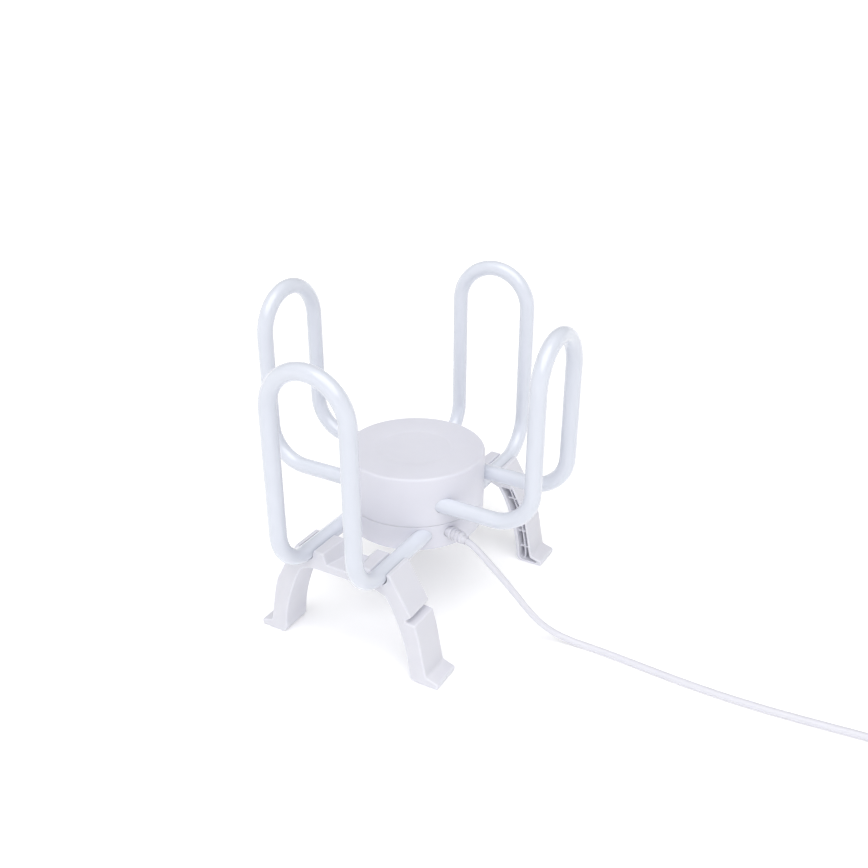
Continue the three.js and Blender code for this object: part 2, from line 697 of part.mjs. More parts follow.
const RELIEF_BORE = CORD_R + GAP / Math.cos(Math.PI / CORD_SIDES) + 0.1;
const RELIEF_FLANGE = 5.4;
const RELIEF_START = 0.3;
const RELIEF_END = 26;
const RELIEF_BORE_STEP = 4;
const RELIEF_RIBS = [[10.4, 5.6], [13.6, 5.6], [16.9, 5.3], [20.4, 4.8]]; // start and radius of each rib
const RIB_LENGTH = 2;
const GROOVE_LENGTH = 1.2;
const GROOVE_DEPTH = 1.4;

// The strain relief: an inner flange, a neck through the wall, four ribs and a taper
function strainRelief() {
  const outer = [
    [RELIEF_FLANGE, RELIEF_START],
    [RELIEF_FLANGE, 1.4],
    [RELIEF_NECK, 1.4],
    [RELIEF_NECK, RELIEF_RIBS[0][0]],
  ];
  for (const [start, radius] of RELIEF_RIBS) {
    const groove = radius - GROOVE_DEPTH;
    const end = start + RIB_LENGTH;
    outer.push([radius, start], [radius, end], [groove, end + 0.1], [groove, end + GROOVE_LENGTH - 0.1]);
  }
  outer.push([RELIEF_BORE + 0.7, RELIEF_END]);
  for (let z = RELIEF_END; z > RELIEF_START; z -= RELIEF_BORE_STEP) outer.push([RELIEF_BORE, z]);
  outer.push([RELIEF_BORE, RELIEF_START], [RELIEF_FLANGE, RELIEF_START]);
  const inside = CORD_EXIT.clone().sub(RELIEF_DIRECTION).toArray();
  const route = [inside, ...CORD_ROUTE.slice(0, STRAIN_RELIEF_STEPS + 2)];
  return solid(bentAlong(turned(outer, 12), route));
}

const coilKeepOut = moved(rod(COIL_OUTSIDE + GAP, -THROUGH, COIL_HEIGHT + THROUGH, 36), ...COIL_CENTRE);
const cordSteps = 46;
const cord = solid(sweep(routeCurve(CORD_ROUTE, cordSteps), cordSteps, CORD_R, CORD_SIDES));
piece(base, "strain_relief", strainRelief(), cordPlastic);
piece(base, "mains_cord", cord.subtract(coilKeepOut), cordPlastic);
const coil = pipe(COIL_INSIDE, COIL_OUTSIDE, 0, COIL_HEIGHT, 36);
piece(base, "cord_coil", moved(coil, ...COIL_CENTRE), cordPlastic);
const tail = solid(sweep(routeCurve(TAIL_ROUTE, 10), 10, CORD_R, CORD_SIDES));
piece(base, "cord_tail", tail.subtract(coilKeepOut), cordPlastic);

// ---- Plug ----

const PLUG_X = TAIL_ROUTE[0][0];
const PLUG_SLEEVE_START = 69;
const PLUG_BODY_START = 89;
const PLUG_BODY_END = 124;
const PLUG_HALF_WIDTH = 17.6;
const PLUG_HALF_HEIGHT = 6.9;
const PIN_SPACING = 18.6;
const PIN_LENGTH = 19;
const PIN_R = 2;

function plugBody() {
  const outline = new THREE.Shape();
  const [w, h] = [PLUG_HALF_WIDTH, PLUG_BODY_END - PLUG_BODY_START];
  outline.moveTo(-5, 0);
  outline.lineTo(5, 0);
  outline.bezierCurveTo(13, 0, w, 8, w, 20);
  outline.lineTo(w, h);
  outline.lineTo(-w, h);
  outline.lineTo(-w, 20);
  outline.bezierCurveTo(-w, 8, -13, 0, -5, 0);
  const bevel = 2;
  const settings = {
    depth: 2 * (PLUG_HALF_HEIGHT - bevel),
    bevelThickness: bevel,
    bevelSize: bevel,
    bevelOffset: -bevel,
    bevelSegments: 2,
    curveSegments: 6,
  };
  const geometry = new THREE.ExtrudeGeometry(outline, settings);
  const body = solid(geometry.translate(0, 0, bevel));
  const sleeveLength = PLUG_BODY_START - PLUG_SLEEVE_START + 3;
  const sleeveProfile = [[0, 0], [4.1, 0], [6, sleeveLength], [0, sleeveLength]];
  const sleeve = solid(turned(sleeveProfile, 14)).rotate([-90, 0, 0]);
  const placedSleeve = moved(sleeve, PLUG_X, PLUG_SLEEVE_START, PLUG_LEVEL);
  const whole = moved(body, PLUG_X, PLUG_BODY_START).add(placedSleeve);
  const cordHole = clearance(CORD_R, -2 * THROUGH, 25, 12).rotate([-90, 0, 0]);
  let plug = whole.subtract(moved(cordHole, PLUG_X, PLUG_SLEEVE_START, PLUG_LEVEL));
  for (const x of [-PIN_SPACING / 2, PIN_SPACING / 2]) {
    const hole = clearance(PIN_R, -6, THROUGH, 12).rotate([-90, 0, 0]);
    plug = plug.subtract(moved(hole, PLUG_X + x, PLUG_BODY_END, PLUG_LEVEL));
  }
  return plug;
}

function plugPin() {
  const tip = [[PIN_R, PIN_LENGTH - 1.4], [PIN_R - 0.8, PIN_LENGTH], [0, PIN_LENGTH]];
  return solid(turned([[0, -5], [PIN_R, -5], ...tip], 12)).rotate([-90, 0, 0]);
}

piece(base, "plug_body", plugBody(), cordPlastic);
for (const [side, x] of [["left", -PIN_SPACING / 2], ["right", PIN_SPACING / 2]]) {
  piece(base, `${side}_plug_pin`, moved(plugPin(), PLUG_X + x, PLUG_BODY_END, PLUG_LEVEL), brass);
}

export default dryer;
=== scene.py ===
"""Electric boot dryer: the looks. Metres, +Z up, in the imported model's frame."""

import json
import math

import bmesh
import bpy
from mathutils import Matrix, Vector
from mathutils.geometry import tessellate_polygon


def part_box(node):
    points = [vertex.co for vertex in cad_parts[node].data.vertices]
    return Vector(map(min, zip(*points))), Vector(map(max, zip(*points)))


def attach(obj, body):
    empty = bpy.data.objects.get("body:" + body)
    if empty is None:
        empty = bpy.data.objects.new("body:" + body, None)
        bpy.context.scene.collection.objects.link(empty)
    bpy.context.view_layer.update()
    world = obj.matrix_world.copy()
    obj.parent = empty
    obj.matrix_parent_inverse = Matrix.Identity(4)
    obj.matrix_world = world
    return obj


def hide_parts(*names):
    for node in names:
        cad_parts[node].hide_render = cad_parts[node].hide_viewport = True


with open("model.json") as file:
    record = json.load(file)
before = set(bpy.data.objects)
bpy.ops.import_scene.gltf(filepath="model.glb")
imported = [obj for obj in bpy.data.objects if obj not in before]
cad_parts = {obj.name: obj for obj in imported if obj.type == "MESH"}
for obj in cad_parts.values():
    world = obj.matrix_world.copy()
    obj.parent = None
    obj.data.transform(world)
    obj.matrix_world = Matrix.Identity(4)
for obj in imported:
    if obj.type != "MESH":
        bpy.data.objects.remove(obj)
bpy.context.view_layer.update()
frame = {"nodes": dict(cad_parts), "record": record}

MM = 0.001
GAP = 0.3 * MM  # between pieces that touch

# ---- Sizes, from the frame and from the part's own driving dimensions ----

upper_low, upper_high = (Vector(p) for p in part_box("upper_shell"))
lower_low, lower_high = (Vector(p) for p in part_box("lower_shell"))
DRUM_R = upper_high.x
DRUM_TOP = upper_high.z
UPPER_RIM = upper_low.z
LOWER_RIM = lower_high.z
DRUM_BOTTOM = lower_low.z
WALL = 2.2 * MM

TUBE_R = 6.5 * MM
TUBE_BORE = 5.5 * MM
HALF_GAP = 33.5 * MM
BEND_R = 32 * MM
TUBE_END = 14 * MM
LOWER_LEVEL = 87.3 * MM
LOWER_REACH = 141 * MM
LOWER_TOP = 255.1 * MM
UPPER_LEVEL = 113 * MM
UPPER_REACH = 121.5 * MM
UPPER_TOP = 257.2 * MM

BOSS_CIRCLE = 48 * MM
SCREW_SEAT = 80 * MM

CORD_R = 2.8 * MM
COIL_CENTRE = Vector((425, 38)) * MM
COIL_LANE = 5.7 * MM
COIL_LANES = 4  # turns side by side in each of the two layers
COIL_MIDDLE = 32 * MM
COIL_RISE = 0.25  # of a turn, to climb from the lower layer onto it
LINE_SPACING = 2.5 * MM


# ---- Camera ----

CAMERA_AZIMUTH = math.radians(29.635)
CAMERA_ELEVATION = math.radians(25.906)


def make_camera():
    camera = bpy.data.objects.new("camera", bpy.data.cameras.new("camera"))
    bpy.context.scene.collection.objects.link(camera)
    camera.location = (0.35812, -0.59747, 0.48879)
    back = Vector((
        math.sin(CAMERA_AZIMUTH) * math.cos(CAMERA_ELEVATION),
        -math.cos(CAMERA_AZIMUTH) * math.cos(CAMERA_ELEVATION),
        math.sin(CAMERA_ELEVATION),
    ))
    camera.rotation_mode = "QUATERNION"
    camera.rotation_quaternion = (-back).to_track_quat("-Z", "Y")
    camera.data.sensor_width = 36
    camera.data.lens = 39.05
    camera.data.clip_start = 0.02
    camera.data.clip_end = 30
    bpy.context.scene.camera = camera


make_camera()


# ---- Materials ----


def new_material(name):
    material = bpy.data.materials.new(name)
    material.use_nodes = True
    return material, material.node_tree.nodes, material.node_tree.links


def noise(nodes, links, scale, detail=3.0, stretch=(1, 1, 1)):
    """A noise texture on the object's own coordinates, in metres, with a stretch along each axis."""
    place = nodes.new("ShaderNodeTexCoord")
    mapping = nodes.new("ShaderNodeMapping")
    mapping.inputs["Scale"].default_value = stretch
    texture = nodes.new("ShaderNodeTexNoise")
    texture.inputs["Scale"].default_value = scale
    texture.inputs["Detail"].default_value = detail
    links.new(place.outputs["Object"], mapping.inputs["Vector"])
    links.new(mapping.outputs["Vector"], texture.inputs["Vector"])
    return texture.outputs["Fac"]


def spread(nodes, links, value, low, high, from_low=0.3, from_high=0.7):
    """Maps a noise value to a range."""
    ramp = nodes.new("ShaderNodeMapRange")
    ramp.inputs["From Min"].default_value = from_low
    ramp.inputs["From Max"].default_value = from_high
    ramp.inputs["To Min"].default_value = low
    ramp.inputs["To Max"].default_value = high
    links.new(value, ramp.inputs["Value"])
    return ramp.outputs["Result"]


def mixed(nodes, links, factor, colour_a, colour_b):
    mix = nodes.new("ShaderNodeMix")
    mix.data_type = "RGBA"
    mix.inputs[6].default_value = (*colour_a, 1)
    mix.inputs[7].default_value = (*colour_b, 1)
    links.new(factor, mix.inputs[0])
    return mix.outputs[2]


def bump(nodes, links, height, distance, strength, after=None):
    node = nodes.new("ShaderNodeBump")
    node.inputs["Distance"].default_value = distance
    node.inputs["Strength"].default_value = strength
    links.new(height, node.inputs["Height"])
    if after is not None:
        links.new(after, node.inputs["Normal"])
    return node.outputs["Normal"]


# The width of the painted highlight along moulded edges.
HIGHLIGHT_EDGE_WIDTH = 1.6 * MM


def with_painted_highlight(nodes, links, tone, amount):
    """The tone, made lighter by this share along moulded edges: a painted highlight on the edges."""
    round_normal = nodes.new("ShaderNodeBevel")
    round_normal.samples = 6
    round_normal.inputs["Radius"].default_value = HIGHLIGHT_EDGE_WIDTH
    plain = nodes.new("ShaderNodeNewGeometry")
    agree = nodes.new("ShaderNodeVectorMath")
    agree.operation = "DOT_PRODUCT"
    links.new(round_normal.outputs["Normal"], agree.inputs[0])
    links.new(plain.outputs["Normal"], agree.inputs[1])
    gain = spread(nodes, links, agree.outputs["Value"], 1 + amount, 1.0, 0.975, 0.999)
    scaled = nodes.new("ShaderNodeVectorMath")
    scaled.operation = "SCALE"
    links.new(tone, scaled.inputs[0])
    links.new(gain, scaled.inputs["Scale"])
    return scaled.outputs["Vector"]


def surface(
    name,
    colour,
    shade,
    roughness,
    grain,
    grain_depth,
    metallic=0.0,
    coat=0.0,
    scatter=0.0,
    patch=55.0,
    stretch=(1, 1, 1),
    edge_highlight_share=0.0,
):
    """A moulded, painted or metal surface: soft colour patches, uneven gloss, and a fine grain in relief.

    colour and shade are the patches' two colours, roughness a pair, grain the relief's cells per metre,
    and grain_depth its depth in metres. A share given for the edges paints a highlight along moulded
    edges.
    """
    material, nodes, links = new_material(name)
    shader = nodes["Principled BSDF"]
    shader.inputs["Metallic"].default_value = metallic
    shader.inputs["Coat Weight"].default_value = coat
    shader.inputs["Coat Roughness"].default_value = 0.08
    shader.inputs["Subsurface Weight"].default_value = scatter
    shader.inputs["Subsurface Radius"].default_value = (0.004, 0.004, 0.005)
    shader.inputs["Subsurface Scale"].default_value = 0.5
    patches = spread(nodes, links, noise(nodes, links, patch, 4.0), 0.0, 1.0)
    tone = mixed(nodes, links, patches, colour, shade)
    # A painted highlight along the moulded edges, where a share is given.
    if edge_highlight_share:
        tone = with_painted_highlight(nodes, links, tone, edge_highlight_share)
    links.new(tone, shader.inputs["Base Color"])
    gloss = spread(nodes, links, noise(nodes, links, patch * 3.1, 5.0), *roughness)
    links.new(gloss, shader.inputs["Roughness"])
    broad = bump(nodes, links, noise(nodes, links, grain * 0.22, 1.0, stretch), grain_depth * 3, 0.35)
    fine = bump(nodes, links, noise(nodes, links, grain, 2.0, stretch), grain_depth, 0.6, broad)
    links.new(fine, shader.inputs["Normal"])
    return material


def make_materials():
    white_shell = surface(
        "drum_plastic", (0.727, 0.727, 0.798), (0.713, 0.713, 0.785), (0.36, 0.44), 2600, 0.00002,
        scatter=0.08,
    )
    # The bracket's moulded edges get a painted highlight.
    bracket = surface(
        "bracket_plastic", (0.697, 0.697, 0.752), (0.680, 0.680, 0.738), (0.40, 0.50), 1900, 0.00003,
        scatter=0.08, edge_highlight_share=0.15,
    )
    enamel = surface(
        "powder_coat", (0.692, 0.720, 0.797), (0.679, 0.708, 0.785), (0.16, 0.24), 620, 0.00003, coat=0.5,
    )
    cord = surface(
        "cord_plastic", (0.715, 0.712, 0.768), (0.702, 0.699, 0.755), (0.40, 0.52), 900, 0.00003,
        scatter=0.1,
    )
    plug = surface(
        "plug_plastic", (0.77, 0.77, 0.82), (0.75, 0.75, 0.80), (0.34, 0.44), 1500, 0.00003,
        scatter=0.08,
    )
    inner = surface(
        "inner_plastic", (0.70, 0.67, 0.58), (0.66, 0.63, 0.54), (0.5, 0.62), 1500, 0.00004,
    )
    silicone = surface(
        "silicone_sheath", (0.42, 0.10, 0.05), (0.36, 0.08, 0.04), (0.45, 0.6), 1400, 0.00004,
    )
    steel = surface(
        "zinc_plate", (0.60, 0.61, 0.63), (0.52, 0.53, 0.56), (0.24, 0.38), 1800, 0.00003, metallic=1.0,
    )
    brass = surface(
        "nickel_brass", (0.72, 0.66, 0.50), (0.66, 0.60, 0.44), (0.16, 0.26), 2200, 0.00001, metallic=1.0,
        stretch=(1, 0.1, 1),
    )
    return {
        "shell_plastic": white_shell,
        "bracket_plastic": bracket,
        "white_enamel": enamel,
        "cord_plastic": cord,
        "plug_plastic": plug,
        "inner_plastic": inner,
        "cable_sheath": silicone,
        "steel": steel,
        "brass": brass,
    }


MATERIALS = make_materials()


# ---- Mesh helpers ----


def add_piece(name, mesh, finish, body, replaced=()):
    """Puts a mesh in the scene as a piece that rides on a body and stands for CAD nodes."""
    piece = bpy.data.objects.new(name, mesh)
    bpy.context.scene.collection.objects.link(piece)
    mesh.materials.clear()
    mesh.materials.append(MATERIALS[finish])
    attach(piece, body)
    if replaced:
        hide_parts(*replaced)
    return piece


def mesh_from(name, points, faces, smooth=True):
    mesh = bpy.data.meshes.new(name)
    mesh.from_pydata([tuple(p) for p in points], [], faces)
    work = bmesh.new()
    work.from_mesh(mesh)
    bmesh.ops.remove_doubles(work, verts=work.verts, dist=1e-7)
    bmesh.ops.recalc_face_normals(work, faces=work.faces)
    for face in work.faces:
        face.smooth = smooth
    work.to_mesh(mesh)
    work.free()
    return mesh


def sharpen(mesh, degrees=35):
    """Smooth shading, with edges over this angle kept sharp."""
    for polygon in mesh.polygons:
        polygon.use_smooth = True
    mesh.set_sharp_from_angle(angle=math.radians(degrees))
    return mesh


def applied(mesh, *modifiers):
    """The mesh after modifiers, each a (type, settings) pair."""
    helper = bpy.data.objects.new("helper", mesh)
    bpy.context.scene.collection.objects.link(helper)
    for kind, settings in modifiers:
        modifier = helper.modifiers.new(kind.lower(), kind)
        for key, value in settings.items():
            setattr(modifier, key, value)
    bpy.context.view_layer.update()
    evaluated = helper.evaluated_get(bpy.context.evaluated_depsgraph_get())
    result = bpy.data.meshes.new_from_object(evaluated)
    bpy.data.objects.remove(helper)
    return result


def cut(mesh, *cutters):
    """The mesh with cutter meshes taken away from it, one after another."""
    for cutter in cutters:
        tool = bpy.data.objects.new("cutter", cutter)
        bpy.context.scene.collection.objects.link(tool)
        settings = {"object": tool, "operation": "DIFFERENCE", "solver": "EXACT"}
        mesh = applied(mesh, ("BOOLEAN", settings))
        bpy.data.objects.remove(tool)
    return mesh


def joined(name, *meshes):
    """Several closed meshes as one mesh of separate shells."""
    work = bmesh.new()
    for mesh in meshes:
        work.from_mesh(mesh)
    result = bpy.data.meshes.new(name)
    work.to_mesh(result)
    work.free()
    return result


def turned(name, profile, sides, closed=True):
    """A solid of revolution about Z from (radius, height) pairs, closed on itself or on the axis."""
    points, faces, rings = [], [], []
    for r, z in profile:
        if r < 1e-9:
            rings.append([len(points)] * sides)
            points.append((0, 0, z))
            continue
        rings.append(list(range(len(points), len(points) + sides)))
        for i in range(sides):
            a = 2 * math.pi * i / sides
            points.append((r * math.cos(a), r * math.sin(a), z))
    pairs = list(zip(rings, rings[1:]))
    if closed:
        pairs.append((rings[-1], rings[0]))
    for low, high in pairs:
        for i in range(sides):
            j = (i + 1) % sides
            corners = [low[i], low[j], high[j], high[i]]
            kept = [c for k, c in enumerate(corners) if c != corners[k - 1]]
            if len(set(kept)) >= 3:
                faces.append(kept)
    return mesh_from(name, points, faces)


def rod(radius, z0, z1, sides=48):
    return turned("rod", [(0, z0), (radius, z0), (radius, z1), (0, z1)], sides, closed=False)


def moved(mesh, matrix):
    mesh.transform(matrix)
    return mesh


def shifted(x, y, z):
    return Matrix.Translation((x, y, z))


def rounded(corners, steps=6, closed=False):
    """Corners (x, y, radius) as points, with an arc at each corner that has a radius."""
    result = []
    count = len(corners)
    for i, (x, y, radius) in enumerate(corners):
        here = Vector((x, y))
        if radius <= 0 or (not closed and i in (0, count - 1)):
            result.append(here)
            continue
        before = Vector(corners[i - 1][:2]) - here
        after = Vector(corners[(i + 1) % count][:2]) - here
        half = before.angle(after) / 2
        reach = min(radius / math.tan(half), 0.49 * before.length, 0.49 * after.length)
        bisector = (before.normalized() + after.normalized()).normalized()
        r = reach * math.tan(half)
        centre = here + bisector * (r / math.sin(half))
        start = here + before.normalized() * reach - centre
        end = here + after.normalized() * reach - centre
        turn = start.angle_signed(end)
        for k in range(steps + 1):
            a = -turn * k / steps
            spin = Matrix.Rotation(a, 2)
            result.append(centre + spin @ start)
    return result


def smooth_line(points, spacing):
    """A centripetal Catmull-Rom curve through the points, sampled about this far apart."""
    p = [Vector(q) for q in points]
    p = [2 * p[0] - p[1], *p, 2 * p[-1] - p[-2]]
    line = []
    for a, b, c, d in zip(p, p[1:], p[2:], p[3:]):
        t0 = 0.0
        t1 = t0 + math.sqrt((b - a).length)
        t2 = t1 + math.sqrt((c - b).length)
        t3 = t2 + math.sqrt((d - c).length)
        steps = max(1, round((c - b).length / spacing))
        for k in range(steps):
            t = t1 + (t2 - t1) * k / steps
            ab = a * ((t1 - t) / (t1 - t0)) + b * ((t - t0) / (t1 - t0))
            bc = b * ((t2 - t) / (t2 - t1)) + c * ((t - t1) / (t2 - t1))
            cd = c * ((t3 - t) / (t3 - t2)) + d * ((t - t2) / (t3 - t2))
            abc = ab * ((t2 - t) / (t2 - t0)) + bc * ((t - t0) / (t2 - t0))
            bcd = bc * ((t3 - t) / (t3 - t1)) + cd * ((t - t1) / (t3 - t1))
            line.append(abc * ((t2 - t) / (t2 - t1)) + bcd * ((t - t1) / (t2 - t1)))
    line.append(p[-2])
    return line


def carried_frames(line):
    """Frames (place, side, over) along a line, each carried on from the last with no twist."""
    frames = []
    side = None
    for i, place in enumerate(line):
        ahead = line[min(i + 1, len(line) - 1)] - line[max(i - 1, 0)]
        tangent = ahead.normalized()
        if side is None:
            side = tangent.orthogonal().normalized()
            if abs(tangent.z) < 0.9:
                side = Vector((0, 0, 1)).cross(tangent).normalized()
        side = (side - tangent * side.dot(tangent)).normalized()
        frames.append((place, side, tangent.cross(side)))
    return frames


def swept_pipe(name, line, radius, bore, sides):
    """A round pipe along a line, with flat ends and a bore."""
    points, faces = [], []
    frames = carried_frames(line)
    loops = [(radius, frames), (bore, frames[::-1])]
    for r, stations in loops:
        for place, side, over in stations:
            for i in range(sides):
                a = 2 * math.pi * i / sides
                points.append(place + side * (r * math.cos(a)) + over * (r * math.sin(a)))
    rings = len(points) // sides
    for ring in range(rings):
        here, there = ring * sides, ((ring + 1) % rings) * sides
        for i in range(sides):
            j = (i + 1) % sides
            faces.append((here + i, here + j, there + j, there + i))
    return mesh_from(name, points, faces)


# ---- Mains cord ----

# The centre line from inside the strain relief to the coil, as in the part
CORD_ROUTE = [
    (0.0459, -0.0286, 0.0878),
    (0.0498, -0.0296, 0.0878),
    (0.0578, -0.0316, 0.0878),
    (0.0651, -0.0335, 0.0872),
    (0.0722, -0.0344, 0.085),
    (0.0787, -0.0344, 0.0806),
    (0.0876, -0.0326, 0.071),
    (0.0982, -0.0289, 0.0575),
    (0.1079, -0.0251, 0.044),
    (0.1175, -0.0214, 0.0305),
    (0.1276, -0.0169, 0.018),
    (0.1382, -0.0122, 0.0093),
    (0.1515, -0.0089, 0.0044),
    (0.166, -0.0076, 0.003),
    (0.181, -0.0078, 0.0028),
    (0.21, -0.0096, 0.0028),
    (0.24, -0.0114, 0.0028),
    (0.275, -0.012, 0.0028),
    (0.31, -0.0104, 0.0028),
    (0.345, -0.007, 0.0028),
    (0.373, -0.004, 0.0028),
    (0.399, -0.0027, 0.0028),
]
TAIL_ROUTE = [
    (0.46555, 0.047, 0.0083),
    (0.46555, 0.057, 0.0076),
    (0.46555, 0.067, 0.007),
    (0.46555, 0.079, 0.0069),
    (0.46555, 0.093, 0.0069),
]


def coil_line():
    """Turns inwards on the surface, then outwards on top of them; in at the front, out at the right."""
    outer = COIL_MIDDLE + COIL_LANE * (COIL_LANES - 1) / 2
    layer = COIL_LANES - 1
    total = 2 * layer + COIL_RISE
    per_turn = 48
    line = []
    for k in range(round(total * per_turn) + 1):
        turn = k / per_turn
        inwards = min(turn, layer)
        outwards = max(0.0, turn - layer - COIL_RISE)
        climb = min(max((turn - layer) / COIL_RISE, 0.0), 1.0)
        radius = outer - COIL_LANE * (inwards - outwards)
        height = CORD_R + COIL_LANE * climb * climb * (3 - 2 * climb)
        angle = 2 * math.pi * turn - math.pi / 2
        x = COIL_CENTRE.x + radius * math.cos(angle)
        y = COIL_CENTRE.y + radius * math.sin(angle)
        line.append(Vector((x, y, height)))
    return line


def line_length(line):
    return sum((b - a).length for a, b in zip(line, line[1:]))


def make_cord():
    coil = coil_line()
    start = smooth_line([*CORD_ROUTE, coil[0]], LINE_SPACING)
    end = smooth_line([coil[-1], *TAIL_ROUTE], LINE_SPACING)
    line = start[:-1] + coil + end[1:]
    curve = bpy.data.curves.new("mains_cord_line", "CURVE")
    curve.dimensions = "3D"
    curve.bevel_depth = CORD_R - 0.03 * MM  # clear of the surface it lies on
    curve.bevel_resolution = 5
    curve.use_fill_caps = True
    curve.twist_mode = "MINIMUM"
    spline = curve.splines.new("POLY")
    spline.points.add(len(line) - 1)
    for point, place in zip(spline.points, line):
        point.co = (*place, 1)
    spline.use_smooth = True
    curve.materials.append(MATERIALS["cord_plastic"])
    cord = bpy.data.objects.new("mains_cord_whole", curve)
    bpy.context.scene.collection.objects.link(cord)
    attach(cord, "base")
    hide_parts("mains_cord", "cord_coil", "cord_tail")
    return cord, line_length(line)


cord, cord_length = make_cord()


def bend_along(mesh, line, start):
    """Bends a mesh that stands on Z onto a line: its z is the distance along the line from start."""
    lengths = [0.0]
    for a, b in zip(line, line[1:]):
        lengths.append(lengths[-1] + (b - a).length)
    frames = carried_frames(line)
    for vertex in mesh.vertices:
        along = min(max(vertex.co.z + start, 0.0), lengths[-1] - 1e-9)
        i = max(k for k, reach in enumerate(lengths[:-1]) if reach <= along)
        share = (along - lengths[i]) / (lengths[i + 1] - lengths[i])
        place = frames[i][0].lerp(frames[i + 1][0], share)
        side = frames[i][1].lerp(frames[i + 1][1], share).normalized()
        over = frames[i][2].lerp(frames[i + 1][2], share).normalized()
        vertex.co = place + side * vertex.co.x + over * vertex.co.y
    return mesh


RELIEF_RIBS = [(10.4, 5.6), (13.6, 5.6), (16.9, 5.3), (20.4, 4.8)]  # start and radius, in millimetres
RIB_LENGTH = 2.0
GROOVE_DEPTH = 1.15


def strain_relief():
    """Four soft ribs and a taper outside the wall, a neck through it and a flange inside."""
    outline = [(3.15, 0.3, 0), (5.4, 0.3, 0.3), (5.4, 1.4, 0.2), (4.4, 1.4, 0.1), (4.4, 9.4, 0.4)]
    for start, radius in RELIEF_RIBS:
        groove = radius - GROOVE_DEPTH
        outline += [
            (radius, start, 0.7),
            (radius, start + RIB_LENGTH, 0.7),
            (groove, start + 2.1, 0.35),
            (groove, start + 3.1, 0.35),
        ]
    outline += [(3.9, 25.9, 0.5), (3.0, 26, 0.3), (3.0, 20, 0), (3.0, 12, 0), (3.0, 4, 0)]
    scaled = [(x * MM, z * MM, r * MM) for x, z, r in outline]
    profile = [tuple(p) for p in rounded(scaled, 4, closed=True)]
    dense = []
    for a, b in zip(profile, profile[1:] + profile[:1]):
        steps = max(1, round(math.dist(a, b) / (1.5 * MM)))
        for k in range(steps):
            dense.append((a[0] + (b[0] - a[0]) * k / steps, a[1] + (b[1] - a[1]) * k / steps))
    mesh = turned("strain_relief_mesh", dense, 48)
    behind = 2 * Vector(CORD_ROUTE[0]) - Vector(CORD_ROUTE[1])
    line = smooth_line([behind, *CORD_ROUTE[:8]], MM)
    return sharpen(bend_along(mesh, line, 0.0), 60)


relief = add_piece("strain_relief_boot", strain_relief(), "cord_plastic", "base", ["strain_relief"])


# ---- Plug ----

plug_low, plug_high = (Vector(p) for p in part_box("plug_body"))
PLUG_X = (plug_low.x + plug_high.x) / 2
PLUG_Z = TAIL_ROUTE[-1][2]
PIN_OFFSET = 9.3 * MM
SLEEVE_RINGS = 5
# The plug's body from its sleeve to its pin face: the share of its half width and of its half height,
# the distance from the sleeve's start in millimetres, and how square the section is
PLUG_SECTIONS = [
    (0.34, 0.80, 20.2, 2.2),
    (0.42, 0.88, 21.4, 2.6),
    (0.6, 0.95, 25, 3),
    (0.8, 0.985, 31, 3.6),
    (0.93, 1, 37, 4.2),
    (0.985, 1, 43, 4.6),
    (1, 1, 49, 5),
    (1, 1, 53.6, 5),
    (0.985, 0.96, 54.6, 5),
    (0.95, 0.88, 55, 5),
]


def plug_mesh():
    """A flat two-pin plug, lofted from the cord to the pin face through rounded-box sections."""
    half_width, half_height = plug_high.x - PLUG_X, (plug_high.z - plug_low.z) / 2
    sections = []
    for k in range(SLEEVE_RINGS):
        ring, start = 4.0 + 0.32 * k, 3.6 * k
        for radius, y in ((ring, 0.2), (ring + 0.2, 2.3), (ring - 0.5, 2.6), (ring - 0.5, 3.5)):
            sections.append((radius, radius, y + start, 2))
    for width, height, y, n in PLUG_SECTIONS:
        sections.append((width * half_width / MM, height * half_height / MM, y, n))
    sides = 64
    points, faces = [], []
    for w, h, y, n in sections:
        for i in range(sides):
            a = 2 * math.pi * i / sides
            c, s = math.cos(a), math.sin(a)
            x = math.copysign(abs(c) ** (2 / n), c) * w * MM
            z = math.copysign(abs(s) ** (2 / n), s) * h * MM
            points.append((PLUG_X + x, plug_low.y + y * MM, PLUG_Z + z))
    last = (len(sections) - 1) * sides
    for here in range(0, last, sides):
        there = here + sides
        for i in range(sides):
            j = (i + 1) % sides
            faces.append((here + i, here + j, there + j, there + i))
    faces += [list(range(sides)), list(range(last, last + sides))]
    return sharpen(mesh_from("plug_mesh", points, faces), 50)


# Turned about the pin's axis, as (radius, distance from the plug's face, corner radius) in millimetres
PIN_PROFILE = [(0, -3, 0), (1.9, -3, 0), (1.9, 9.5, 0.1), (2.0, 9.6, 0.1), (2.0, 18.2, 0.9), (0, 19, 0)]
SLEEVE_PROFILE = [(2.02, -0.5, 0), (2.35, -0.5, 0), (2.35, 9.2, 0.2), (2.02, 9.4, 0)]


def turned_on_face(name, x, profile, steps, closed):
    """A turned shape that points along +Y out of the plug's face, this far along X."""
    outline = rounded([(r * MM, z * MM, f * MM) for r, z, f in profile], steps)
    mesh = turned(name, [tuple(p) for p in outline], 32, closed)
    place = shifted(x, plug_high.y, PLUG_Z) @ Matrix.Rotation(-math.pi / 2, 4, "X")
    return sharpen(moved(mesh, place), 40)


def make_plug():
    made = [add_piece("plug_shell", plug_mesh(), "plug_plastic", "base", ["plug_body"])]
    for side, sign in (("left", -1), ("right", 1)):
        x = PLUG_X + sign * PIN_OFFSET
        pin = turned_on_face("pin", x, PIN_PROFILE, 6, closed=False)
        made.append(add_piece(f"{side}_pin", pin, "brass", "base", [f"{side}_plug_pin"]))
        sleeve = turned_on_face("pin_sleeve", x, SLEEVE_PROFILE, 4, closed=True)
        made.append(add_piece(f"{side}_pin_sleeve", sleeve, "plug_plastic", "base", []))
    return made


plug_pieces = make_plug()


TIE_ANGLE = math.radians(205)
TIE_THICKNESS = 0.7 * MM
TIE_HALF_WIDTH = 4.5 * MM


def rounded_box(half_width, low, high, radius):
    corners = [(-half_width, low), (half_width, low), (half_width, high), (-half_width, high)]
    return rounded([(x, y, radius) for x, y in corners], 8, closed=True)


